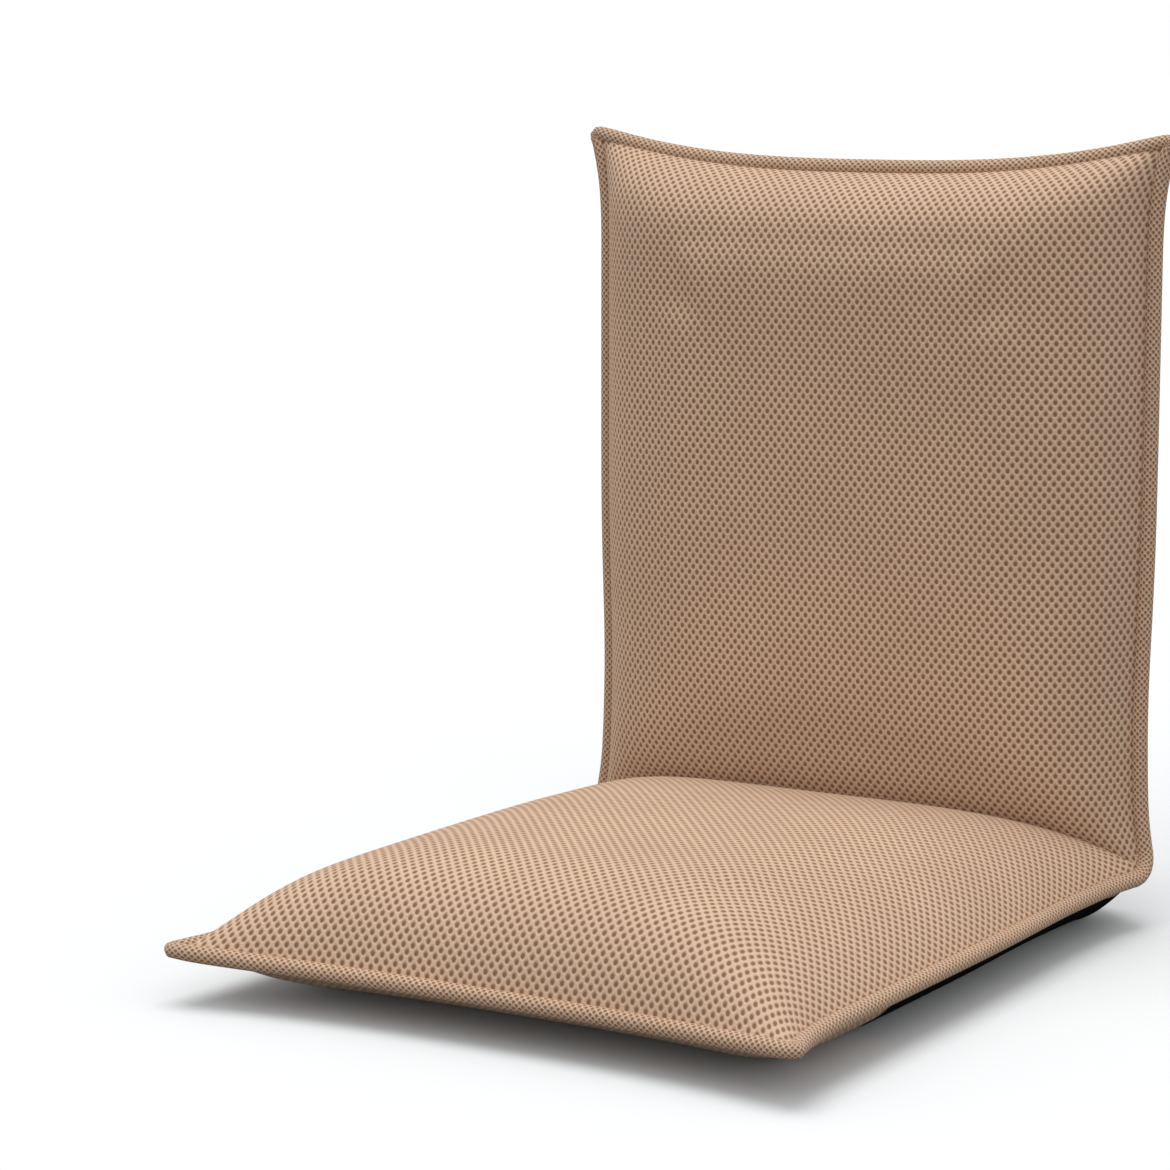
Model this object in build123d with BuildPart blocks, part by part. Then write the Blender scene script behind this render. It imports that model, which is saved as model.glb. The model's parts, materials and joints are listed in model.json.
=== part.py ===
from build123d import *
from math import cos, radians, sin, tan
import os

# A folding floor chair: a padded seat that lies on the floor and a padded backrest, joined by two
# hidden ratchet hinges. Each half is a bent steel tube with cross bars, a felt sheet, a crowned
# foam block, a foam base and a fabric cover with a stuffed welt round its edge.
# Millimetres. +X is the right side seen from the front, -Y the front, +Z up, floor at Z = 0.
# A half has its own frame plane through its tube and its welt: x across, y away from the hinge
# axis, z towards the sitter. Both frame planes meet at the hinge axis, upright at rest.

os.makedirs("parts", exist_ok=True)

# --- Overall sizes -------------------------------------------------------------------------
SEAT_L = 602  # hinge axis to the seat's front corner points
BACK_L = 582  # hinge axis to the backrest's top corner points
BODY_W = 502  # across the welts beside the hinges
EAR_OUT = 10.5  # how far the corner points are pulled out past the sides, before rounding
FRAME_H = 40  # frame plane above the floor, and in front of the backrest's rear face
SEAT_CROWN = 72  # seat surface above the frame plane, at its highest
BACK_CROWN = 66  # backrest surface in front of the frame plane, at its highest
FLARE_L = 95  # stretch of each side that runs out to a corner point
EDGE_BOW = 22  # how far the middle of the free edge is drawn in from the corners
FORWARD_FOLD = 18  # degrees the backrest goes forward past upright, one tooth, to release

# --- Cover, foam and felt ------------------------------------------------------------------
WELT_D = 13
WELT_SIDES = 12
EAR_R = 18  # outer corner radius of the welt
FLARE_R = 420
BOW_R = 1900
COVER_T = 1.6
GRIP_T = 1.5  # black non-slip panel
GRIP_EDGE = 96  # from the welts' outer sides to the panel
FELT_T = 2.0
WEB_T = 1.2
WEB_W = 50
SKIN_GAP = 0.3  # between layers of one half
WELT_GAP = 0.5  # between the cover's edges and the welt
LIP = 1.0  # cover edges stand this far off the frame plane, either side of the welt's seam
COVER_RUNS = 8  # straight runs along each arc of the stuffed cover's sections
HIDDEN_RUNS = 4  # and of what lies under it
BASE_RUNS = 2  # and of the underside
TRIM = 2.0  # sections run this far past the outline that cuts them
FOLD_GAP = 2.0  # between the two crowns, folded forward
COVER_START = 48  # crown begins this far from the hinge axis
WELT_START = 10
BASE_START = 8
HINGE_FADE = 60  # stretch beyond the hinges over which the base gets its full taper
SHOULDER = 0.80  # where the crown turns down into the side, as part of its half width and height
BASE_TAPER = 80  # how far the base draws in from the welt to its flat
HINGE_TAPER = 42  # and beside the hinges, which need the room
BASE_BULGE = 3
SEAT_RISE = 190  # the base rises from the floor to the welt over this stretch at the free end
BACK_RISE = 140
GRIP_MARGIN = 6

# --- Steel frame ---------------------------------------------------------------------------
TUBE_D = 19
TUBE_WALL = 1.2
TUBE_SIDES = 8
TUBE_EDGE = 46  # tube centre line from the welt's outer side
TUBE_BEND = 60
TUBE_INSET = 64  # tube centre line from the corner points, along the half
BAR_D = 12.7
SEAT_BARS = (190, 390)
BACK_BARS = (170, 450)
WEB_PLACES = (240, 310, 380)
WELD_GAP = 0.1

# --- Ratchet hinges ------------------------------------------------------------------------
TOOTH_PITCH = 18  # degrees
TEETH = 7
TOOTH_ROOT_R = 17
TOOTH_TIP_R = 20
TOOTH_LAND = 2  # degrees of full height
TOOTH_SLOPE = 11  # degrees of slope behind the land
LOCK_ANGLE = 225  # degrees from +Y towards +Z, where the pawl meets a tooth
RATCHET_PLAY = 0.5  # each side of the toothed plate, between the hinge's plates
PLATE_T = 2
PLATE_RIM = 3  # plates round the hinge axis stand out this far past the tooth tips
TONGUE_T = 6  # tube end pressed flat
TONGUE_SPREAD = 5  # it gets this much wider than the tube
TONGUE_GAP = 20  # from the pawl's pin to the pressed tube end
TONGUE_L = 32
PRESS_L = 30  # stretch over which the tube goes from flat to round
PRESS_CORNER = 0.29  # corner of an eight-sided tube section, as part of its thickness
STEM_PLAY = 1.6  # in the backrest tube's bore, across its corners
STEM_L = 46  # stretch of the toothed plate inside the backrest tube
BACK_TUBE_GAP = 4  # from the plates to the backrest tube
PIVOT_D = 8
PIVOT_HEAD_D = 15
HEAD_T = 2
PIN_D = 5
PIN_HEAD_D = 8
RIVET_D = 4
RIVET_SIDES = 12  # of rivets, pins and pivots, and of the bores that they stand still in
RIVET_HEAD_D = 7
BORE_PLAY = 0.16  # on the diameter of each bore
PAWL_REACH = 8  # from the tooth tips to the pawl's pin
PAWL_HUB_R = 5.5
PAWL_LIFT = 12  # degrees from a tooth gap to clear of the teeth
PAWL_PLAY = 0.3
PAWL_BACK = 3.5  # the pawl's back stands this far outside the tooth tips
PAWL_LOBE = (-2, -14)  # from the pin to the middle of the plates' lobe that covers the pawl
LOBE_R = 8
NOSE_GAP = 1  # degrees between the pawl's nose and a tooth
NOSE_LAND = 2.5  # degrees from the nose to the middle of its rounded corners
NOSE_R = 0.8
PAWL_HEEL = (-6, -9, 1.5)  # degrees from the gap's start to the far side, from back to root
SPRING_LEG = (8, -9)  # upper and lower end of the leg against the pressed tube
SPRING_BEND = (5, -4.5)  # from the leg's lower end to the end of the bend
SPRING_TIP = (-5.5, -11)  # from the pin
SPRING_T = 0.8
SPRING_W = 4
POCKET_W = 34  # room in the foam round a hinge
POCKET_GAP = 8  # beyond the pressed tube end
POCKET_ROOM = 3  # above and below the plates

# --- Derived places ------------------------------------------------------------------------
HINGE_Y = (SEAT_L - FRAME_H) / 2  # puts the origin under the middle of the chair
WEDGE = tan(radians((90 - FORWARD_FOLD) / 2))  # steepest rise that still clears the other half
FELT_BASE = TUBE_D / 2 + WEB_T + 2 * SKIN_GAP
FOAM_BASE = FELT_BASE + FELT_T + SKIN_GAP
BASE_DEPTH = FRAME_H - GRIP_T - SKIN_GAP
EAR_W = BODY_W + 2 * EAR_OUT
GRIP_W = BODY_W - 2 * GRIP_EDGE
TUBE_X = BODY_W / 2 - TUBE_EDGE
TUBE_TURN = 180 / TUBE_SIDES  # puts flats of a tube towards the sitter and the sides
TUBE_FLATS = TUBE_D * cos(radians(TUBE_TURN))
PLATE_R = TOOTH_TIP_R + PLATE_RIM
RATCHET_T = TONGUE_T - 2 * RATCHET_PLAY
PAWL_PLACE = (-TOOTH_TIP_R - PAWL_REACH, 0)  # pawl pin from the hinge axis, along +Y and +Z
TONGUE_START = TOOTH_TIP_R + PAWL_REACH + TONGUE_GAP
TONGUE_END = TONGUE_START + TONGUE_L
TONGUE_W = TUBE_D + TONGUE_SPREAD
BACK_TUBE_START = PLATE_R + BACK_TUBE_GAP
STEM_W = TUBE_D - 2 * TUBE_WALL - STEM_PLAY
POCKET_L = TONGUE_END + POCKET_GAP
POCKET_H = PLATE_R + POCKET_ROOM
SEAT_RIVETS = ((TONGUE_START + TONGUE_END) / 2,)
BACK_RIVETS = (BACK_TUBE_START + STEM_L / 2,)
SPRING_LEG_Y = TONGUE_START - SPRING_T / 2 - WELD_GAP
SEAT = Plane(origin=(0, HINGE_Y, FRAME_H), x_dir=(-1, 0, 0), z_dir=(0, 0, 1))
BACK = Plane(origin=(0, HINGE_Y, FRAME_H), x_dir=(1, 0, 0), z_dir=(0, -1, 0))


def station(frame, place, across=0):
    """Plane across a half at a distance from the hinge axis, its local y towards the sitter."""
    origin = frame.from_local_coords((across, place, 0))
    return Plane(origin=origin, x_dir=frame.x_dir, z_dir=-frame.y_dir)


def edge_corners(length, inset, start):
    """Corners of the welt's line, or of one inside it, and the radii that round them."""
    flare, bow = (EAR_W - BODY_W) / (2 * FLARE_L), EDGE_BOW / (EAR_W / 2)
    side, ear = BODY_W / 2 - inset, EAR_R - inset
    tip = (EAR_W / 2 - inset * (1 + flare), length - inset * (1 + bow))
    right = [(side, start), (side, length - FLARE_L), tip]
    left = [(-x, y) for x, y in reversed(right)]
    middle = [(0, length - EDGE_BOW - inset)]
    return right + middle + left, [FLARE_R, ear, BOW_R, ear, FLARE_R]


def outline(frame, length, inset, height):
    """Plan face of a half, drawn in from the welt's outer side, at a height over its frame plane."""
    corners, radii = edge_corners(length, inset, -TONGUE_START)
    with BuildSketch(frame.offset(height)) as plan:
        with BuildLine():
            edge = FilletPolyline(*corners, radius=radii)
            Line(edge @ 1, edge @ 0)
        make_face()
    return plan.sketch


def half_width(place, length, inset):
    """Half width inside the welt at a distance from the hinge axis."""
    flare = max(0, place - length + FLARE_L) / FLARE_L
    return BODY_W / 2 + flare * (EAR_W - BODY_W) / 2 - inset + TRIM


def crown_section(frame, place, width, height, runs):
    """Section of the stuffed side, in straight runs along a crown arc and a shoulder each side."""
    reach, level = SHOULDER * width, LIP + SHOULDER * (height - LIP)
    steps = [step / runs for step in range(runs)]
    with BuildSketch(station(frame, place)) as section:
        with BuildLine(mode=Mode.PRIVATE):
            crown = ThreePointArc((-reach, level), (0, height), (reach, level))
            right = TangentArc(crown @ 1, (width, LIP), tangent=crown % 1)
            left = TangentArc(crown @ 0, (-width, LIP), tangent=-(crown % 0))
        with BuildLine():
            rim = [left @ (1 - t) for t in steps] + [crown @ t for t in steps]
            Polyline(*rim, *[right @ t for t in steps], right @ 1, close=True)
        make_face()
    return section.sketch.face()


def base_section(frame, place, width, depth, taper):
    """Section of the underside: a flat middle and a bulged side up to the welt each side."""
    bulge = -BASE_BULGE * depth / BASE_DEPTH
    with BuildSketch(station(frame, place)) as section:
        with BuildLine(mode=Mode.PRIVATE):
            side = SagittaArc((width - taper, -depth), (width, -LIP), bulge)
        with BuildLine():
            right = [side @ (step / BASE_RUNS) for step in range(BASE_RUNS + 1)]
            Polyline(*right, *[(-point.X, point.Y) for point in reversed(right)], close=True)
        make_face()
    return section.sketch.face()


def crown_line(length, crown):
    """Places along a half with the crown's height there, from the hinge to the free edge."""
    near = [(COVER_START, 0.60), (72, 0.81), (110, 0.95), (180, 1)]
    rise = [(v, min(share * crown, v * WEDGE - FOLD_GAP)) for v, share in near]
    fall = [(150, 0.98), (90, 0.87), (60, 0.64), (40, 0.33), (25, 0.10)]
    return rise + [(length - end, share * crown) for end, share in fall]


def crowned_body(frame, length, crown, inset, bottom, runs=HIDDEN_RUNS):
    """Stuffed side of a half, drawn in all round by an inset, from a height over its frame."""
    edge = WELT_D + WELT_GAP + inset
    with BuildPart() as body:
        sections = [
            crown_section(frame, place, half_width(place, length, edge), height - inset, runs)
            for place, height in crown_line(length, crown)
        ]
        loft(sections, ruled=True)
        extrude(outline(frame, length, edge, bottom), amount=crown, mode=Mode.INTERSECT)
    return body.part


def base_body(frame, length, rise, inset, top):
    """Underside of a half, drawn in all round by an inset, up to a depth under its frame."""
    edge, depth = WELT_D + WELT_GAP + inset, BASE_DEPTH - inset
    shares = [(0, 1), (0.35, 0.93), (0.7, 0.62), (0.97, 0.12)]
    lines = [(BASE_START, depth, HINGE_TAPER), (POCKET_L, depth, HINGE_TAPER)]
    lines += [(POCKET_L + HINGE_FADE, depth, BASE_TAPER)]
    lines += [(length - (1 - along) * rise, share * depth, BASE_TAPER) for along, share in shares]
    with BuildPart() as body:
        sections = [
            base_section(frame, place, half_width(place, length, edge), max(low, 2 * LIP), taper)
            for place, low, taper in lines
        ]
        loft(sections, ruled=True)
        extrude(outline(frame, length, edge, -top), amount=-FRAME_H, mode=Mode.INTERSECT)
    return body.part


def hinge_pockets(frame):
    """Sketch of the room that both hinges take in a half's foam and felt."""
    with BuildSketch(frame) as pockets:
        with Locations((-TUBE_X, POCKET_L / 2), (TUBE_X, POCKET_L / 2)):
            Rectangle(POCKET_W, POCKET_L)
    return pockets.sketch


def pressed_section(plane, thick, wide):
    """Eight-sided section of a tube pressed to a thickness and a width."""
    x, y, corner = thick / 2, wide / 2, PRESS_CORNER * thick
    quarter = [(x, -y + corner), (x, y - corner), (x - corner, y), (corner - x, y)]
    with BuildSketch(plane) as section:
        with BuildLine():
            Polyline(*quarter, *[(-a, -b) for a, b in quarter], close=True)
        make_face()
    return section.sketch.face()


def strap_section(plane, radius):
    """Section round both tubes of a half, with its corners at a radius from their centre lines."""
    with BuildSketch(plane) as section:
        with Locations((-TUBE_X, 0), (TUBE_X, 0)):
            RegularPolygon(radius, TUBE_SIDES, rotation=TUBE_TURN)
        make_hull()
    return section.sketch.face()


def write(piece, name):
    piece.label = name
    export_step(piece, f"parts/{name}.step")


# --- Both halves: cover, foam, felt, tube and bars ------------------------------------------
HALVES = (
    ("seat", SEAT, SEAT_L, SEAT_CROWN, SEAT_RISE, TONGUE_END + PRESS_L, SEAT_BARS, SEAT_RIVETS),
    ("back", BACK, BACK_L, BACK_CROWN, BACK_RISE, BACK_TUBE_START, BACK_BARS, BACK_RIVETS),
)
for half, frame, length, crown, rise, tube_start, bars, rivets in HALVES:
    with BuildPart() as cushion_cover:
        add(crowned_body(frame, length, crown, SKIN_GAP, 0, COVER_RUNS))
        add(crowned_body(frame, length, crown, SKIN_GAP + COVER_T, 0), mode=Mode.SUBTRACT)
    write(cushion_cover.part, f"{half}_cushion_cover")

    with BuildPart() as under_cover:
        add(base_body(frame, length, rise, SKIN_GAP, 0))
        add(base_body(frame, length, rise, SKIN_GAP + COVER_T, 0), mode=Mode.SUBTRACT)
    write(under_cover.part, f"{half}_under_cover")

    with BuildPart() as grip_panel:
        grip_end = length - rise - GRIP_MARGIN
        with BuildSketch(frame.offset(-FRAME_H)):
            with Locations((0, (BASE_START + grip_end) / 2)):
                Rectangle(GRIP_W, grip_end - BASE_START)
        extrude(amount=GRIP_T)
    write(grip_panel.part, f"{half}_grip_panel")

    with BuildPart() as welt:
        corners, radii = edge_corners(length, WELT_D / 2, WELT_START)
        with BuildLine(frame) as welt_line:
            FilletPolyline(*corners, radius=radii)
        with BuildSketch(Plane(origin=welt_line.line @ 0, z_dir=welt_line.line % 0)):
            RegularPolygon(WELT_D / 2, WELT_SIDES)
        sweep()
    write(welt.part, f"{half}_welt")

    foam_inset = COVER_T + 2 * SKIN_GAP
    with BuildPart() as foam:
        add(crowned_body(frame, length, crown, foam_inset, FOAM_BASE))
        extrude(hinge_pockets(frame), amount=POCKET_H, both=True, mode=Mode.SUBTRACT)
    write(foam.part, f"{half}_foam")

    with BuildPart() as base_foam:
        add(base_body(frame, length, rise, foam_inset, FELT_BASE))
        extrude(hinge_pockets(frame), amount=POCKET_H, both=True, mode=Mode.SUBTRACT)
    write(base_foam.part, f"{half}_base_foam")

    with BuildPart() as felt:
        felt_w, felt_end = 2 * TUBE_X + TUBE_D, length - TUBE_INSET + TUBE_D / 2
        with BuildSketch(frame.offset(FELT_BASE)):
            with Locations((0, (POCKET_L + felt_end) / 2)):
                RectangleRounded(felt_w, felt_end - POCKET_L, TUBE_BEND / 2)
        extrude(amount=FELT_T)
    write(felt.part, f"{half}_felt")

    with BuildPart() as frame_tube:
        tube_end = length - TUBE_INSET
        with BuildLine(frame) as tube_line:
            FilletPolyline(
                (-TUBE_X, tube_start), (-TUBE_X, tube_end), (TUBE_X, tube_end), (TUBE_X, tube_start),
                radius=TUBE_BEND,
            )
        with BuildSketch(Plane(origin=tube_line.line @ 0, z_dir=tube_line.line % 0)):
            RegularPolygon(TUBE_D / 2, TUBE_SIDES, rotation=TUBE_TURN)
            bore_r = TUBE_D / 2 - TUBE_WALL
            RegularPolygon(bore_r, TUBE_SIDES, rotation=TUBE_TURN, mode=Mode.SUBTRACT)
        sweep()
        for across in (-TUBE_X, TUBE_X) if half == "seat" else ():
            tube_face = pressed_section(station(frame, tube_start, across), TUBE_FLATS, TUBE_FLATS)
            tongue = pressed_section(station(frame, TONGUE_END, across), TONGUE_T, TONGUE_W)
            loft([tube_face, tongue], ruled=True)
            extrude(tongue, amount=TONGUE_END - TONGUE_START)
        with BuildSketch(Plane(origin=frame.origin, x_dir=frame.y_dir, z_dir=frame.x_dir)):
            with Locations(*[(place, 0) for place in rivets]):
                RegularPolygon((RIVET_D + BORE_PLAY) / 2, RIVET_SIDES)
        extrude(amount=BODY_W, both=True, mode=Mode.SUBTRACT)
    write(frame_tube.part, f"{half}_frame_tube")

    with BuildPart() as cross_bars:
        for place in bars:
            bar_plane = Plane(
                origin=frame.from_local_coords((-TUBE_X, place, 0)),
                x_dir=frame.y_dir, z_dir=frame.x_dir,
            )
            with BuildSketch(bar_plane):
                RegularPolygon(BAR_D / 2, TUBE_SIDES, rotation=TUBE_TURN)
            extrude(amount=2 * TUBE_X)
        with BuildSketch(station(frame, 0)):
            with Locations((-TUBE_X, 0), (TUBE_X, 0)):
                RegularPolygon(TUBE_D / 2 + WELD_GAP, TUBE_SIDES, rotation=TUBE_TURN)
        extrude(amount=-length, mode=Mode.SUBTRACT)
    write(cross_bars.part, f"{half}_cross_bars")

# Three elastic straps round the backrest's tubes, which carry the sitter's back.
with BuildPart() as back_webbing:
    for place in WEB_PLACES:
        start = station(BACK, place - WEB_W / 2)
        extrude(strap_section(start, FELT_BASE), amount=-WEB_W)
        extrude(strap_section(start, FELT_BASE - WEB_T), amount=-WEB_W, mode=Mode.SUBTRACT)
write(back_webbing.part, "back_webbing")

# --- Ratchet hinges, one in each side -------------------------------------------------------
# Hinge sketches lie in a plane square to the hinge axis: local x is +Y, local y is +Z.
SIDES = (-1, 1)


def hinge_plane(side, offset=0, place=(0, 0), turn=0):
    """Plane square to the axis in one side, at an offset in X, at a place, turned about X."""
    return Plane(
        origin=(side * TUBE_X + offset, HINGE_Y + place[0], FRAME_H + place[1]),
        x_dir=(0, cos(radians(turn)), sin(radians(turn))), z_dir=(1, 0, 0),
    )


def polar(radius, angle):
    return (radius * cos(radians(angle)), radius * sin(radians(angle)))


def from_pin(radius, angle):
    """A point given about the hinge axis, taken from the pawl's pin."""
    y, z = polar(radius, angle)
    return (y - PAWL_PLACE[0], z - PAWL_PLACE[1])


def beside_pin(offset):
    """A point given from the pawl's pin, taken about the hinge axis."""
    return (PAWL_PLACE[0] + offset[0], PAWL_PLACE[1] + offset[1])


def rivet_set(places, grip, shank, head):
    """Rivets along X with a flat head at each end, at each place in both sides."""
    with BuildPart() as rivets:
        for side in SIDES:
            for place in places:
                with BuildSketch(hinge_plane(side, -grip / 2, place)):
                    RegularPolygon(shank / 2, RIVET_SIDES)
                extrude(amount=grip)
                for offset in (-grip / 2 - HEAD_T, grip / 2):
                    with BuildSketch(hinge_plane(side, offset, place)):
                        RegularPolygon(head / 2, RIVET_SIDES)
                    extrude(amount=HEAD_T)
    return rivets.part


plate_places = [(-place, 0) for place in SEAT_RIVETS]
stem_places = [(0, place) for place in BACK_RIVETS]
low_face, high_face = -TONGUE_T / 2 - PLATE_T, TONGUE_T / 2
for name, faces in (
    ("hinge_outer_plates", (low_face, high_face)),
    ("hinge_inner_plates", (high_face, low_face)),
):
    with BuildPart() as plates:
        for side, offset in zip(SIDES, faces):
            with BuildSketch(hinge_plane(side, offset)):
                Circle(PLATE_R)
                with Locations(beside_pin(PAWL_LOBE)):
                    Circle(LOBE_R)
                with Locations((-TONGUE_END + TONGUE_W / 2, 0)):
                    Circle(TONGUE_W / 2)
                make_hull()
                for bore, places in (
                    (PIVOT_D, [(0, 0)]), (PIN_D, [PAWL_PLACE]), (RIVET_D, plate_places)
                ):
                    with Locations(*places):
                        RegularPolygon((bore + BORE_PLAY) / 2, RIVET_SIDES, mode=Mode.SUBTRACT)
        extrude(amount=PLATE_T)
    write(plates.part, name)

# Toothed plates: each stem is pushed into the backrest tube and riveted through it.
stem_end = BACK_TUBE_START + STEM_L
with BuildPart() as ratchet_plates:
    for side in SIDES:
        with BuildSketch(hinge_plane(side, -RATCHET_T / 2)):
            Circle(TOOTH_ROOT_R)
            for tooth in range(TEETH):
                lock = LOCK_ANGLE - FORWARD_FOLD + tooth * TOOTH_PITCH
                with BuildLine():
                    Polyline(
                        (0, 0), polar(TOOTH_TIP_R, lock), polar(TOOTH_TIP_R, lock + TOOTH_LAND),
                        polar(TOOTH_ROOT_R, lock + TOOTH_LAND + TOOTH_SLOPE), close=True,
                    )
                make_face()
            with Locations((0, stem_end / 2)):
                Rectangle(STEM_W, stem_end)
            Circle((PIVOT_D + BORE_PLAY) / 2, mode=Mode.SUBTRACT)
            with Locations(*stem_places):
                RegularPolygon((RIVET_D + BORE_PLAY) / 2, RIVET_SIDES, mode=Mode.SUBTRACT)
    extrude(amount=RATCHET_T)
write(ratchet_plates.part, "ratchet_plates")

# Pawls: drawn in a tooth gap about their pins and turned clear of the teeth.
gap_start = LOCK_ANGLE - TOOTH_PITCH + TOOTH_LAND + TOOTH_SLOPE
root, tip, back = TOOTH_ROOT_R + PAWL_PLAY, TOOTH_TIP_R + 2 * PAWL_PLAY, TOOTH_TIP_R + PAWL_BACK
nose = LOCK_ANGLE - NOSE_GAP
for side_name, side in zip(("left", "right"), SIDES):
    with BuildPart() as pawl:
        with BuildSketch(hinge_plane(side, -RATCHET_T / 2, PAWL_PLACE, -PAWL_LIFT)):
            Circle(PAWL_HUB_R)
            with Locations(from_pin(back, nose - NOSE_LAND), from_pin(tip, nose - NOSE_LAND)):
                Circle(NOSE_R)
            make_hull()
            with Locations(from_pin(0, 0)):
                Circle(tip, mode=Mode.SUBTRACT)
            with BuildLine():
                heel = [
                    from_pin(radius, gap_start + angle)
                    for radius, angle in zip((back, tip, root), PAWL_HEEL)
                ]
                Polyline(from_pin(root, nose), from_pin(back, nose), *heel, close=True)
            make_face()
            Circle((PIN_D + BORE_PLAY) / 2, mode=Mode.SUBTRACT)
        extrude(amount=RATCHET_T)
    write(pawl.part, f"{side_name}_pawl")

    # Leaf spring: one leg lies against the pressed tube end, the other bears on the pawl's back.
    with BuildPart() as pawl_spring:
        with BuildSketch(hinge_plane(side, -SPRING_W / 2)):
            with BuildLine():
                leg = Line(*[(-SPRING_LEG_Y, level) for level in SPRING_LEG])
                bend = TangentArc(leg @ 1, leg @ 1 + SPRING_BEND, tangent=leg % 1)
                Line(bend @ 1, beside_pin(SPRING_TIP))
            trace(line_width=SPRING_T)
        extrude(amount=SPRING_W)
    write(pawl_spring.part, f"{side_name}_pawl_spring")

stack = TONGUE_T + 2 * PLATE_T
write(rivet_set([(0, 0)], stack, PIVOT_D, PIVOT_HEAD_D), "hinge_pivots")
write(rivet_set([PAWL_PLACE], stack, PIN_D, PIN_HEAD_D), "pawl_pins")
write(rivet_set(plate_places, stack, RIVET_D, RIVET_HEAD_D), "plate_rivets")
write(rivet_set(stem_places, TUBE_FLATS, RIVET_D, RIVET_HEAD_D), "stem_rivets")
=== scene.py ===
"""Looks of a folding floor chair: one stuffed cover over both halves, a welt round its edge and a
black non-slip panel outside. All three are smooth meshes, bent where the backrest folds."""

import json
import math

import bpy
import numpy as np
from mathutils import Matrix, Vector


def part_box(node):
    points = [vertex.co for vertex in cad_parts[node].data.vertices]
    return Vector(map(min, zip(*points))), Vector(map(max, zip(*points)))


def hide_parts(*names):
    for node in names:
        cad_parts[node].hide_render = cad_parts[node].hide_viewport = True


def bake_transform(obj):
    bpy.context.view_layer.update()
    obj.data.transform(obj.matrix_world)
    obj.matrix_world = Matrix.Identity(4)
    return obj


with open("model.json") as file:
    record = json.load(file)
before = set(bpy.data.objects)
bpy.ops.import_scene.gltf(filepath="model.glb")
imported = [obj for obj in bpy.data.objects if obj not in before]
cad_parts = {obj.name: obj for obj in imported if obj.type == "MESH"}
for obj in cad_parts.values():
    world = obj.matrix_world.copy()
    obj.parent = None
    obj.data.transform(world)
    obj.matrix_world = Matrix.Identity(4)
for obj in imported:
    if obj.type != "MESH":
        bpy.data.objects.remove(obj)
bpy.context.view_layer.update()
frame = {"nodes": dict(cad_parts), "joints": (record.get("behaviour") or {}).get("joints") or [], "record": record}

# --- Sizes read from the frame, in metres ---------------------------------------------------
fold = next(joint for joint in frame["joints"] if joint["name"] == "backrest_fold")
HINGE = np.array(fold["pos_m"])
seat_low, seat_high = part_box("seat_welt")
WELT_R = (seat_high.z - seat_low.z) / 2
SEAT_L = HINGE[1] - seat_low.y  # hinge axis to the seat's front corner points
BACK_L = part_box("back_welt")[1].z - HINGE[2]
EAR_X = seat_high.x - WELT_R  # welt centre line at a corner point
SEAT_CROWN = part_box("seat_cushion_cover")[1].z - HINGE[2]
BACK_CROWN = HINGE[1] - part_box("back_cushion_cover")[0].y
GRIP_T = 0.0012  # the black panel stands this far proud of the under cover
BASE = HINGE[2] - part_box("seat_grip_panel")[0].z - GRIP_T  # frame plane above the under cover
GRIP_FRONT = HINGE[1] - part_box("seat_grip_panel")[0].y
GRIP_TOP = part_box("back_grip_panel")[1].z - HINGE[2]

# --- Sizes chosen on the photograph, in metres -------------------------------------------------
TUCK = 0.4 * WELT_R  # covers end this far inside the welt's centre line, hidden in the welt
SIDE_X = 0.2445  # welt centre line beside the hinges
FLARE_L, FLARE_POWER = 0.105, 3  # stretch of a side that runs out to a corner point
HINGE_SWELL, SWELL_L = 0.0055, 0.032  # the sides stand out round the hinges
SIDE_WAIST, WAIST_V, WAIST_L = 0.0035, 0.13, 0.09  # and draw in beyond them
EDGE_BOW, BOW_POWER = 0.026, 2.8  # how far the middle of a free edge is drawn in
HANG_L, HANG_POWER = 0.16, 3  # stretch over which a free edge comes down to where it hangs
EAR_ROUND = 0.009  # stretch of the welt's centre line, each way, that rounds a corner point
CORNER_R = 0.020  # round of the welt's centre line at the hinge
CREASE = 0.044  # the two crowns meet this far from both frame planes
CREASE_EDGE = (0.20, 3.5)  # and this line falls to the sides like a crown
CORNER_FADE = 0.006  # stretch over which a crown's edge leaves the rounded corner
EDGE_ROUND = 0.8  # the crown stands the steeper on its edge, the less this is
BASE_SIDE, BASE_ROUND = 0.085, 3.5  # width and roundness of the underside's rise to a side
HINGE_SIDE, HINGE_ROUND, HINGE_L = 0.041, 2.3, 0.045  # less of both beside the hinges
END_ROUND = 4.5  # roundness of the underside's rise to a free edge
EAR_TAPER, EAR_TAPER_L = 0.22, 0.016  # the welt gets thinner towards a corner point
GRIP_X = 0.232  # the black panel's sides, from the middle
COLUMNS, ROWS = 121, 150  # of each half of a cover
SIDE_POINTS, EDGE_POINTS, EAR_POINTS = 400, 200, 20  # along the welt's centre line
WELT_RINGS, WELT_SIDES = 1500, 24

# --- Cloth simulation --------------------------------------------------------------------------
SIM_COLUMNS, SIM_ROWS, SIM_STEPS = 61, 75, 20
SIM_PRESSURE, SIM_MASS, SIM_QUALITY = 4.0, 0.3, 6
SIM_CAP = 0.005  # most that a point may move, in metres


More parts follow.
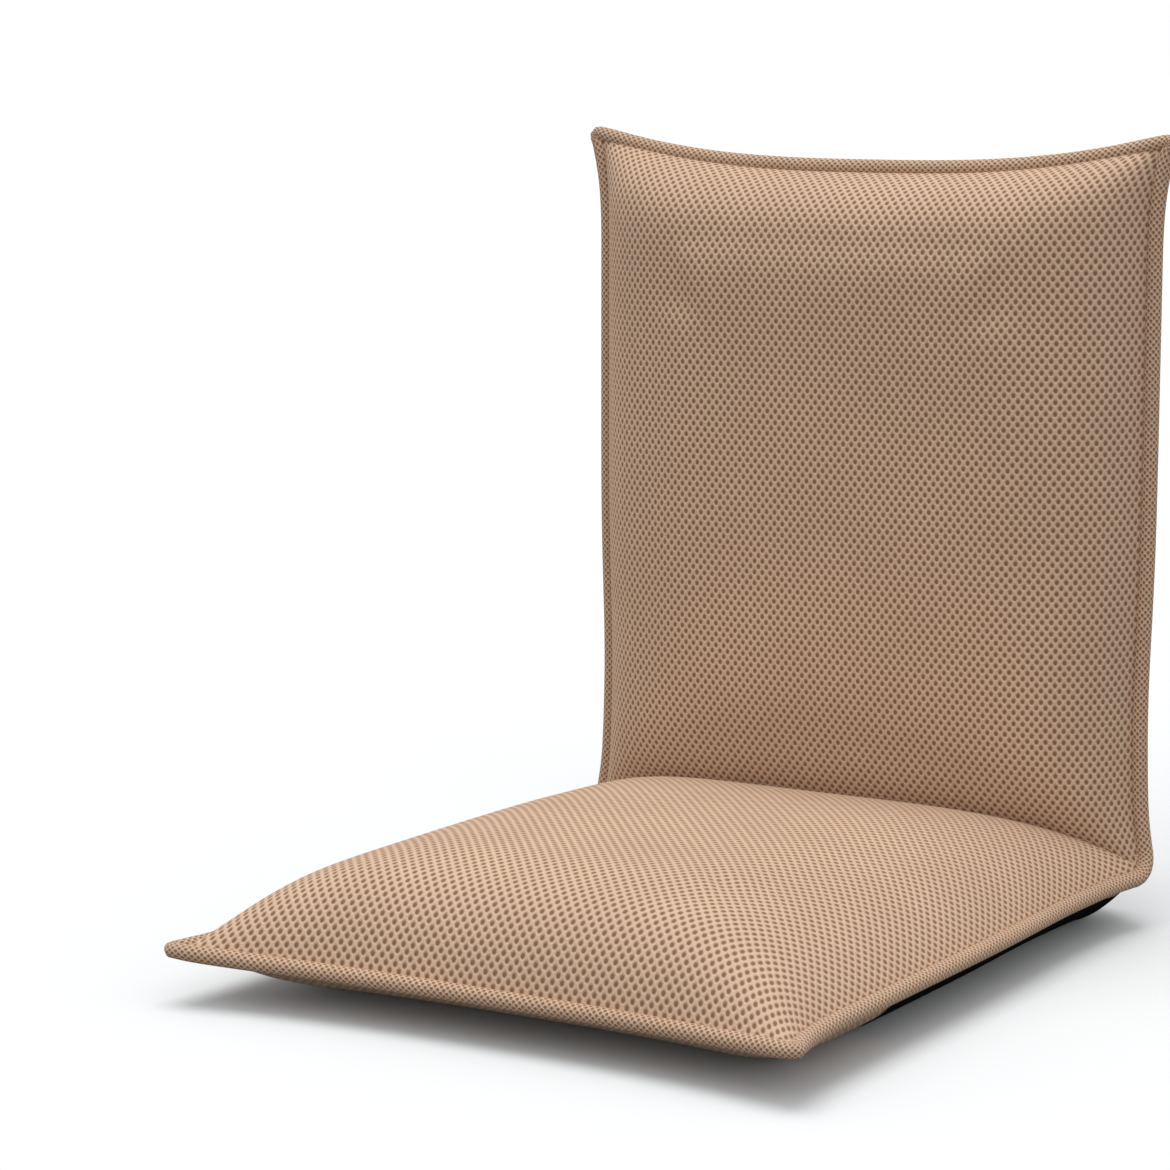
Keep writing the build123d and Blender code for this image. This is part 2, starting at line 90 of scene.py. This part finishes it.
class Half:
    """The seat or the backrest, measured across, away from the hinge and towards the sitter.

    side_edge and end_edge hold the stretch over which the crown rises from a side and from the
    free edge and how steeply it starts, side_fall is the part of the crown lost from the middle
    to the shoulders, crease_fade is about the stretch over which the crown comes up from the
    crease, rise the one over which the underside leaves its flat, sag how far the edge hangs,
    stretch how much further apart the cloth's dots are drawn, and ear how much further out the
    corner points are pulled than in the frame.
    """

    def __init__(self, sense, length, crown, **shape):
        self.sense, self.length, self.crown = sense, length, crown
        self.side_edge, self.end_edge = shape["side_edge"], shape["end_edge"]
        self.side_fall, self.rise, self.sag = shape["side_fall"], shape["rise"], shape["sag"]
        self.crease_fade, self.stretch = shape["crease_fade"], shape["stretch"]
        self.ear_x = EAR_X + shape["ear"]

    def side(self, v):
        """Welt centre line's distance from the middle, which flares to the corner point."""
        t = np.clip((v - self.length + FLARE_L) / FLARE_L, 0, 1)
        swell = HINGE_SWELL * np.exp(-((v / SWELL_L) ** 2))
        waist = SIDE_WAIST * np.exp(-(((v - WAIST_V) / WAIST_L) ** 2))
        return SIDE_X + (self.ear_x - SIDE_X) * t**FLARE_POWER + swell - waist

    def free(self, share):
        """Welt centre line's distance from the hinge along the free edge."""
        return self.length - WELT_R - EDGE_BOW * (1 - np.abs(share) ** BOW_POWER)

    def hang(self, share, v):
        """How far the free edge's middle hangs, fading out along the half."""
        near = np.clip(1 - (self.length - v) / HANG_L, 0, 1)
        return -self.sag * (1 - np.minimum(np.abs(share), 1) ** HANG_POWER) * near**2

    def straight(self, x, v, h):
        """Places on the inner side, which meets the other half in a sharp crease."""
        if self.sense < 0:
            return np.stack(np.broadcast_arrays(x, HINGE[1] - v, HINGE[2] + h), -1)
        return np.stack(np.broadcast_arrays(x, HINGE[1] - h, HINGE[2] + v), -1)

    def depth(self, x, v, share):
        """Depth of the underside below the frame plane, none at the welt."""
        inner, end = self.side(v) - TUCK, self.free(share) - TUCK
        near = np.exp(-((v / HINGE_L) ** 2))
        to_side = np.clip(1 - (inner - np.abs(x)) / (BASE_SIDE - HINGE_SIDE * near), 0, 1)
        to_end = np.clip(1 - (end - v) / self.rise, 0, 1)
        to_side = to_side ** (BASE_ROUND - HINGE_ROUND * near)
        return BASE * (1 - to_side) * (1 - to_end**END_ROUND)


SEAT = Half(
    -1, SEAT_L, SEAT_CROWN, side_edge=(0.20, 3.5), end_edge=(0.12, 5.0), side_fall=0.05,
    crease_fade=0.10, rise=0.19, sag=0.008, stretch=1.085, ear=0.006,
)
BACK = Half(
    1, BACK_L, BACK_CROWN, side_edge=(0.13, 3.5), end_edge=(0.11, 5.0), side_fall=0.06,
    crease_fade=0.035, rise=0.14, sag=0.0, stretch=1.0, ear=0.007,
)


def round_corner(x, s, h):
    """Places at a distance s past the hinge, bent round it on the outer side, and axes there."""
    turn = np.clip((s + CORNER_R) / (2 * CORNER_R), 0, 1) * math.pi / 2
    y = np.minimum(s, -CORNER_R) + CORNER_R * np.sin(turn)
    z = np.maximum(s, CORNER_R) - CORNER_R * np.cos(turn)
    zero = np.zeros_like(turn)
    along = np.stack([zero, np.cos(turn), np.sin(turn)], -1)
    inward = np.stack([zero, -np.sin(turn), np.cos(turn)], -1)
    place = np.stack(np.broadcast_arrays(x, HINGE[1] + y, HINGE[2] + z), -1)
    return place + np.asarray(h)[..., None] * inward, along, inward


# --- Meshes --------------------------------------------------------------------------------
def row_lengths(points):
    """Distance along each row of a grid from its middle column."""
    steps = np.linalg.norm(np.diff(points, axis=1), axis=2)
    u = np.pad(np.cumsum(steps, axis=1), ((0, 0), (1, 0)))
    return u - u[:, points.shape[1] // 2][:, None]


def column_lengths(points):
    """Distance down each column of a grid from its first row."""
    steps = np.linalg.norm(np.diff(points, axis=0), axis=2)
    return np.pad(np.cumsum(steps, axis=0), ((1, 0), (0, 0)))


def grid_mesh(name, grids, closed=False):
    """One smooth mesh of one or more grids of (points, u, v), with u and v in metres of cloth."""
    places, quads, corners, first = [], [], [], 0
    for points, u, v in grids:
        rows, columns = points.shape[:2]
        index = np.arange(rows * columns).reshape(rows, columns)
        cells = [index[:-1, :-1], index[:-1, 1:], index[1:, 1:], index[1:, :-1]]
        own = np.stack(cells, -1).reshape(-1)
        uv = np.stack(np.broadcast_arrays(u, v), -1).reshape(-1, 2)
        corners.append(uv[own])
        if closed:  # the last row and column lie on the first
            wrap = index.copy()
            wrap[-1], wrap[:, -1] = wrap[0], wrap[:, 0]
            own = wrap.reshape(-1)[own]
        quads.append(own.reshape(-1, 4) + first)
        places.append(points.reshape(-1, 3))
        first += rows * columns
    mesh = bpy.data.meshes.new(name)
    mesh.from_pydata(np.concatenate(places).tolist(), [], np.concatenate(quads).tolist())
    layer = mesh.uv_layers.new(name="fabric")
    layer.data.foreach_set("uv", np.concatenate(corners).astype(np.float32).ravel())
    mesh.shade_smooth()
    piece = bpy.data.objects.new(name, mesh)
    bpy.context.scene.collection.objects.link(piece)
    return piece


def spread(count, ease=1.6):
    """Places from -1 to 1, closer together towards both ends."""
    t = np.linspace(-1, 1, count)
    return np.sign(t) * (1 - (1 - np.abs(t)) ** ease)


def rise_from_edge(distance, edge):
    """Share of the full crown at a distance from an edge, for a reach and a steepness."""
    reach, steepness = edge
    return (1 - (1 - np.clip(distance / reach, 0, 1)) ** steepness) ** EDGE_ROUND


def crown_places(half, a, b):
    """Places on the stuffed side, at shares across and from the crease to the free edge."""
    inward = (1 - np.abs(a)) * (SIDE_X - TUCK)
    full = half.crown * (1 - half.side_fall * a**2) * rise_from_edge(inward, half.side_edge)
    share = rise_from_edge(inward, CREASE_EDGE)
    crease = CREASE * share + (1 - math.sqrt(0.5)) * CORNER_R * (1 - share)
    fade = CORNER_FADE + (half.crease_fade - CORNER_FADE) * share
    end = half.free(a) - TUCK
    v = crease + (end - crease) * b
    h = full * rise_from_edge(end - v, half.end_edge)
    h = h + (crease - full) * np.exp((crease - v) / fade)
    return half.straight(a * (half.side(v) - TUCK), v, h + half.hang(a, v)), v


def spline_weights(places, nodes):
    """Weights of a smooth curve through evenly spaced nodes, one row for each place."""
    t = np.abs(places[:, None] - nodes[None, :]) / (nodes[1] - nodes[0])
    return np.where(t < 1, 2 / 3 - t**2 + t**3 / 2, np.clip(2 - t, 0, 1) ** 3 / 6)


def swelling(half, a, b):
    """Outward travel of the cover as its stuffing presses on it, at shares across and along.

    A coarser cloth, held along its seams, is simulated under pressure.
    """
    across, down = np.linspace(-1, 1, SIM_COLUMNS), np.linspace(0, 1, SIM_ROWS)
    rest = crown_places(half, across[None, :], down[:, None])[0][:: half.sense]
    cloth = grid_mesh("cloth", [(rest, rest[..., 0], rest[..., 1])])
    index = np.arange(SIM_ROWS * SIM_COLUMNS).reshape(SIM_ROWS, SIM_COLUMNS)
    seams = np.setdiff1d(index, index[2:-2, 1:-1]).tolist()
    cloth.vertex_groups.new(name="seams").add(seams, 1.0, "REPLACE")
    settings = cloth.modifiers.new("cloth", "CLOTH").settings
    settings.vertex_group_mass = "seams"
    settings.quality, settings.mass = SIM_QUALITY, SIM_MASS
    settings.use_pressure, settings.uniform_pressure_force = True, SIM_PRESSURE
    settings.effector_weights.gravity = 0
    for step in range(1, SIM_STEPS + 1):
        bpy.context.scene.frame_set(step)
    shaped = cloth.evaluated_get(bpy.context.evaluated_depsgraph_get()).data
    places = np.empty(len(shaped.vertices) * 3)
    shaped.vertices.foreach_get("co", places)
    bpy.data.objects.remove(cloth)
    bpy.context.scene.frame_set(1)
    out = np.cross(np.gradient(rest, axis=1), np.gradient(rest, axis=0))
    out /= np.linalg.norm(out, axis=2, keepdims=True)
    travel = np.sum((places.reshape(rest.shape) - rest) * out, axis=2, keepdims=True)
    travel = (SIM_CAP * np.tanh(np.maximum(travel, 0) / SIM_CAP) * out)[:: half.sense]
    shares = spline_weights(b[:, 0], down), spline_weights(a[0], across)
    return np.einsum("ij,jkc,lk->ilc", shares[0], travel, shares[1])


def crown_grid(half):
    """Stuffed side of a half, from the crease to the free edge."""
    a, b = spread(COLUMNS)[None, :], (spread(ROWS)[:, None] + 1) / 2
    points, v = crown_places(half, a, b)
    points = points + swelling(half, a, b)
    across, along = row_lengths(points), column_lengths(points)
    along += (v - along)[ROWS // 2]  # the cloth's rows run straight across half way along
    u, v = across / half.stretch, along / half.stretch
    if half.sense < 0:  # keeps the outside of the cloth outside
        return points[::-1], u[::-1], -v[::-1]
    return points, u, v


def make_cover():
    """Both crowns in one piece, with a sharp crease where they meet."""
    return grid_mesh("cushion_cover", [crown_grid(SEAT), crown_grid(BACK)])


def base_grid(half, reach, end, proud=0.0):
    """Outer side of a half over a reach across, from the hinge to an end, standing proud of it."""
    a, b = spread(COLUMNS)[None, :], (spread(ROWS)[:, None] + 1) / 2
    v = end(a) * b
    h = half.hang(a, v) - half.depth(a * reach(half, v), v, a) - proud
    points = round_corner(a * reach(half, v), half.sense * v, h)[0]
    return points if half.sense > 0 else points[::-1]


def outer_piece(name, reach, ends, proud=0.0):
    """One piece over the outer sides of both halves and round the hinge."""
    seat = base_grid(SEAT, reach, ends[0], proud)
    back = base_grid(BACK, reach, ends[1], proud)
    points = np.concatenate([seat, back[1:]])[:, ::-1]
    along = column_lengths(points)[:, COLUMNS // 2, None]
    return grid_mesh(name, [(points, row_lengths(points), along)])


def make_base():
    """The under cover, from welt to welt."""

    def reach(half, v):
        return half.side(v) - TUCK

    ends = [lambda a, half=half: half.free(a) - TUCK for half in (SEAT, BACK)]
    return outer_piece("under_cover", reach, ends)


def make_grip():
    """The black panel that lies on the under cover."""
    ends = [lambda a, end=end: np.full_like(a, end) for end in (GRIP_FRONT, GRIP_TOP)]
    return outer_piece("grip_panel", lambda half, v: np.full_like(v, GRIP_X), ends, GRIP_T)


def rim(half):
    """Welt centre line of a half from the hinge along one side, the free edge and the other."""
    tip = np.array([half.ear_x, half.length - WELT_R])
    v = np.linspace(0, tip[1] - EAR_ROUND, SIDE_POINTS)
    side = np.stack([half.side(v), v], -1)
    x = np.linspace(half.ear_x - EAR_ROUND, 0, EDGE_POINTS)
    edge = np.stack([x, half.free(x / half.ear_x)], -1)
    t = np.linspace(0, 1, EAR_POINTS)[1:-1, None]
    ear = side[-1] * (1 - t) ** 2 + 2 * tip * t * (1 - t) + edge[0] * t**2
    right = np.concatenate([side, ear, edge])
    return np.concatenate([right, right[-2:0:-1] * (-1, 1)])


def make_welt():
    """Rolled welt all round the chair, one closed tube."""
    line = np.concatenate([rim(BACK), -rim(SEAT)])
    line = np.concatenate([line, line[:1]])
    length = column_lengths(line[:, None])[:, 0]
    even = np.linspace(0, length[-1], WELT_RINGS)
    x, s = (np.interp(even, length, line[:, i]) for i in (0, 1))
    tangent = np.stack([np.roll(c[:-1], -1) - np.roll(c[:-1], 1) for c in (x, s)], -1)
    tangent = np.concatenate([tangent, tangent[:1]])
    tangent /= np.linalg.norm(tangent, axis=1)[:, None]
    h = np.where(s < 0, SEAT.hang(x / EAR_X, -s), BACK.hang(x / EAR_X, s))
    centre, along, inward = round_corner(x, s, h)
    outward = tangent[:, 1:] * np.array([1.0, 0, 0]) - tangent[:, :1] * along
    turn = np.linspace(-math.pi, math.pi, WELT_SIDES + 1)[:, None]
    ring = np.cos(turn) * outward[:, None] + np.sin(turn) * inward[:, None]
    ear_x = np.where(s < 0, SEAT.ear_x, BACK.ear_x)
    to_tip = np.hypot(np.abs(x) - ear_x, np.abs(s) - np.where(s < 0, SEAT_L, BACK_L))
    radius = WELT_R * (1 - EAR_TAPER * np.exp(-((to_tip / EAR_TAPER_L) ** 2)))
    points = centre[:, None] + radius[:, None, None] * ring
    along = column_lengths((centre + WELT_R * outward)[:, None])
    return grid_mesh("welt", [(points, WELT_R * turn[:, 0], along)], True)


# --- Materials -----------------------------------------------------------------------------
SPECULAR = "Specular IOR Level"


def linear(r, g, b):
    """Scene-linear colour of an sRGB colour from 0 to 255."""

    def channel(c):
        c /= 255
        return c / 12.92 if c <= 0.04045 else ((c + 0.055) / 1.055) ** 2.4

    return (channel(r), channel(g), channel(b), 1)


def scaled(colour, factor):
    """A lighter or darker colour."""
    return [min(1.0, c * factor) for c in colour[:3]] + [1]


class Nodes:
    """A material's node tree, with short calls for the nodes that the cloth needs."""

    def __init__(self, name, **shader):
        self.material = bpy.data.materials.new(name)
        self.material.use_nodes = True
        self.tree = self.material.node_tree
        self.shader = self.tree.nodes["Principled BSDF"]
        for socket, value in shader.items():
            self.shader.inputs[socket.replace("_", " ")].default_value = value

    def link(self, source, target):
        if isinstance(source, bpy.types.NodeSocket):
            self.tree.links.new(source, target)
        else:
            target.default_value = source

    def add(self, kind, inputs, output=0, **settings):
        """A node with its inputs linked or set, by index or name. Returns an output."""
        node = self.tree.nodes.new(kind)
        for key, value in settings.items():
            setattr(node, key, value)
        for key, value in inputs.items():
            self.link(value, node.inputs[key])
        return node.outputs[output]

    def math(self, operation, *values):
        return self.add("ShaderNodeMath", dict(enumerate(values)), operation=operation)

    def coordinates(self, kind):
        return self.add("ShaderNodeTexCoord", {}, kind)

    def noise(self, scale, detail=3.0):
        inputs = {"Vector": self.coordinates("Object"), "Scale": scale, "Detail": detail}
        return self.add("ShaderNodeTexNoise", inputs)

    def mix(self, share, a, b):
        inputs = {0: share, 6: a, 7: b}
        return self.add("ShaderNodeMix", inputs, 2, data_type="RGBA")

    def map(self, value, low, high, to_low=0.0, to_high=1.0):
        inputs = {0: value, 1: low, 2: high, 3: to_low, 4: to_high}
        return self.add("ShaderNodeMapRange", inputs, interpolation_type="SMOOTHSTEP")

    def lattice(self, across, along, squeeze=1.0):
        """Distance from rows of points, each row set off by half a step from the next."""
        uv = self.add("ShaderNodeSeparateXYZ", {0: self.coordinates("UV")})
        u, v = uv.node.outputs[0], uv.node.outputs[1]
        near = []
        for shift in (0.0, 0.5):
            places = []
            for value, step, scale in ((u, across, 1.0), (v, along, squeeze)):
                cell = self.math("FRACT", self.math("MULTIPLY_ADD", value, 1 / step, shift))
                off_middle = self.math("SUBTRACT", cell, 0.5)
                places.append(self.math("MULTIPLY", off_middle, scale * step))
            squares = [self.math("MULTIPLY", place, place) for place in places]
            near.append(self.math("SQRT", self.math("ADD", *squares)))
        return self.math("MINIMUM", *near)

    def finish(self, colour, height, distance, strength=1.0):
        inputs = {"Strength": strength, "Distance": distance, "Height": height}
        self.link(colour, self.shader.inputs["Base Color"])
        self.link(self.add("ShaderNodeBump", inputs), self.shader.inputs["Normal"])
        return self.material


def mesh_cloth(name, across, along, dot, tan, dark):
    """Spacer mesh: rows of holes, each row set off by half a step, in a knit of fine yarn."""
    sheen = scaled(tan, 1.4)
    nodes = Nodes(name, Roughness=0.9, Sheen_Weight=0.35, Sheen_Roughness=0.5, Sheen_Tint=sheen)
    nodes.shader.inputs[SPECULAR].default_value = 0.2
    distance = nodes.lattice(across, along, 0.84)  # holes a little long
    hole = nodes.map(distance, 0.55 * dot, 1.3 * dot, 1.0, 0.0)  # with a soft edge
    yarn = nodes.noise(1400.0, 3.0)
    shade = nodes.noise(9.0)
    cloth = nodes.mix(nodes.map(shade, 0.3, 0.7), tan, scaled(tan, 0.92))
    cloth = nodes.mix(nodes.map(yarn, 0.3, 0.7, 0.0, 0.22), cloth, dark)
    colour = nodes.mix(nodes.math("MULTIPLY", hole, 0.9), cloth, dark)
    rim_height = nodes.map(distance, 0.6 * dot, 1.7 * dot)
    height = nodes.math("MULTIPLY_ADD", yarn, 0.12, rim_height)
    return nodes.finish(colour, height, 0.0009, 0.7)


def grip_material(name, colour, dot_colour):
    """Dull woven cloth with rows of small rubber dots."""
    nodes = Nodes(name, Roughness=1.0)
    nodes.shader.inputs[SPECULAR].default_value = 0.0
    weave = nodes.noise(1800.0, 2.0)
    dot = nodes.map(nodes.lattice(0.0070, 0.0070), 0.0010, 0.0014, 1.0, 0.0)
    cloth = nodes.mix(weave, colour, scaled(colour, 0.4))
    height = nodes.math("MULTIPLY_ADD", weave, 0.4, dot)
    return nodes.finish(nodes.mix(dot, cloth, dot_colour), height, 0.0005)


def steel(name, colour, rough, metallic):
    """Plated, tempered or powder-coated steel with a fine grain."""
    nodes = Nodes(name, Roughness=rough, Metallic=metallic)
    grain = nodes.noise(600.0, 4.0)
    return nodes.finish(nodes.mix(grain, colour, scaled(colour, 0.7)), grain, 0.00005)


TAN, DOT = linear(222, 191, 164), linear(118, 82, 56)
cover_cloth = mesh_cloth("cover_cloth", 0.0072, 0.0090, 0.00180, TAN, DOT)
welt_cloth = mesh_cloth("welt_cloth", 0.0046, 0.0052, 0.00115, TAN, DOT)
grip_cloth = grip_material("grip_cloth", linear(34, 34, 35), linear(50, 50, 51))

# --- Pieces ----------------------------------------------------------------------------------
HALF_NODES = {
    "cushion_cover": ("cushion_cover", "foam", "felt"),
    "under_cover": ("under_cover", "base_foam"),
    "welt": ("welt",),
    "grip_panel": ("grip_panel",),
}
for make, cloth, slot in (
    (make_cover, cover_cloth, "cover_fabric"),
    (make_base, cover_cloth, "cover_fabric"),
    (make_welt, welt_cloth, "cover_fabric"),
    (make_grip, grip_cloth, "grip_fabric"),
):
    piece = make()
    piece.data.materials.append(cloth)
    nodes = HALF_NODES[piece.name]
    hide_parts(*[f"{half}_{node}" for half in ("seat", "back") for node in nodes])
    if piece.name == "cushion_cover":
        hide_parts("back_webbing")
    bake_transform(piece)

FINISHES = {
    "frame_steel": steel("powder_coat", linear(40, 40, 42), 0.45, 0.0),
    "hinge_steel": steel("zinc_plate", linear(170, 172, 175), 0.35, 1.0),
    "spring_steel": steel("spring_temper", linear(120, 118, 122), 0.3, 1.0),
}
for part in frame["record"]["subparts"]:
    if part["material_slot"] in FINISHES:
        node = frame["nodes"][part["node"]]
        for material_slot in node.material_slots:
            material_slot.material = FINISHES[part["material_slot"]]

# --- Studio ----------------------------------------------------------------------------------
CAMERA_PLACE = (1.3435, -2.3416, 0.6886)
CAMERA_AZIMUTH, CAMERA_ELEVATION = math.radians(31.57), math.radians(8.48)
CAMERA_LENS, CAMERA_SENSOR = 112.5, 36  # millimetres
WORLD_LIGHT = 0.715
KEY = ((-0.14, 0.05, 1.0), 1.4, 45)  # direction that it comes from, strength, spread in degrees
FILL = ((0.3, -1.0, 0.8), 0.5, 70)
SIDE = ((1.0, -0.1, 0.35), 0.2, 60)
FLOOR_REACH = 60.0
FLOOR_BOUNCE = 0.15  # the floor's grey as the object sees it
FLOOR_SEEN = (0.80, 0.815, 0.825)  # and as the camera sees it, cool as the cloth warms its shadow


def make_camera():
    data = bpy.data.cameras.new("camera")
    data.lens, data.sensor_width = CAMERA_LENS, CAMERA_SENSOR
    camera = bpy.data.objects.new("camera", data)
    bpy.context.scene.collection.objects.link(camera)
    camera.location = CAMERA_PLACE
    flat = math.cos(CAMERA_ELEVATION)
    back = Vector((
        math.sin(CAMERA_AZIMUTH) * flat, -math.cos(CAMERA_AZIMUTH) * flat,
        math.sin(CAMERA_ELEVATION),
    ))
    camera.rotation_mode = "QUATERNION"
    camera.rotation_quaternion = (-back).to_track_quat("-Z", "Y")
    bpy.context.scene.camera = camera


def make_lamp(name, place, strength, spread):
    data = bpy.data.lights.new(name, "SUN")
    data.energy, data.angle = strength, math.radians(spread)
    lamp = bpy.data.objects.new(name, data)
    bpy.context.scene.collection.objects.link(lamp)
    lamp.rotation_mode = "QUATERNION"
    lamp.rotation_quaternion = Vector(place).to_track_quat("Z", "Y")


def make_floor():
    mesh = bpy.data.meshes.new("floor")
    low, high = -FLOOR_REACH, FLOOR_REACH
    corners = [(low, low, 0), (high, low, 0), (high, high, 0), (low, high, 0)]
    mesh.from_pydata(corners, [], [(0, 1, 2, 3)])
    floor = bpy.data.objects.new("floor", mesh)
    bpy.context.scene.collection.objects.link(floor)
    nodes = Nodes("floor_white", Roughness=1.0)
    nodes.shader.inputs[SPECULAR].default_value = 0
    path = nodes.tree.nodes.new("ShaderNodeLightPath")
    seen = nodes.math("MAXIMUM", path.outputs["Is Camera Ray"], path.outputs["Is Glossy Ray"])
    seen = nodes.math("MAXIMUM", seen, path.outputs["Is Transmission Ray"])
    colour = nodes.mix(seen, (FLOOR_BOUNCE,) * 3 + (1,), FLOOR_SEEN + (1,))
    nodes.link(colour, nodes.shader.inputs["Base Color"])
    mesh.materials.append(nodes.material)


def make_world():
    world = bpy.data.worlds.new("studio")
    world.use_nodes = True
    bpy.context.scene.world = world
    tree = world.node_tree
    background = tree.nodes["Background"]
    path = tree.nodes.new("ShaderNodeLightPath")
    mix = tree.nodes.new("ShaderNodeMix")
    seen = tree.nodes.new("ShaderNodeMath")
    seen.operation = "MAXIMUM"
    tree.links.new(path.outputs["Is Camera Ray"], seen.inputs[0])
    tree.links.new(path.outputs["Is Glossy Ray"], seen.inputs[1])
    tree.links.new(seen.outputs[0], mix.inputs[0])
    mix.inputs[2].default_value, mix.inputs[3].default_value = WORLD_LIGHT, 1.0
    background.inputs["Color"].default_value = (1, 1, 1, 1)
    tree.links.new(mix.outputs[0], background.inputs["Strength"])


make_camera()
make_world()
make_floor()
make_lamp("key", *KEY)
make_lamp("fill", *FILL)
make_lamp("side", *SIDE)
bpy.context.scene.view_settings.view_transform = "Standard"
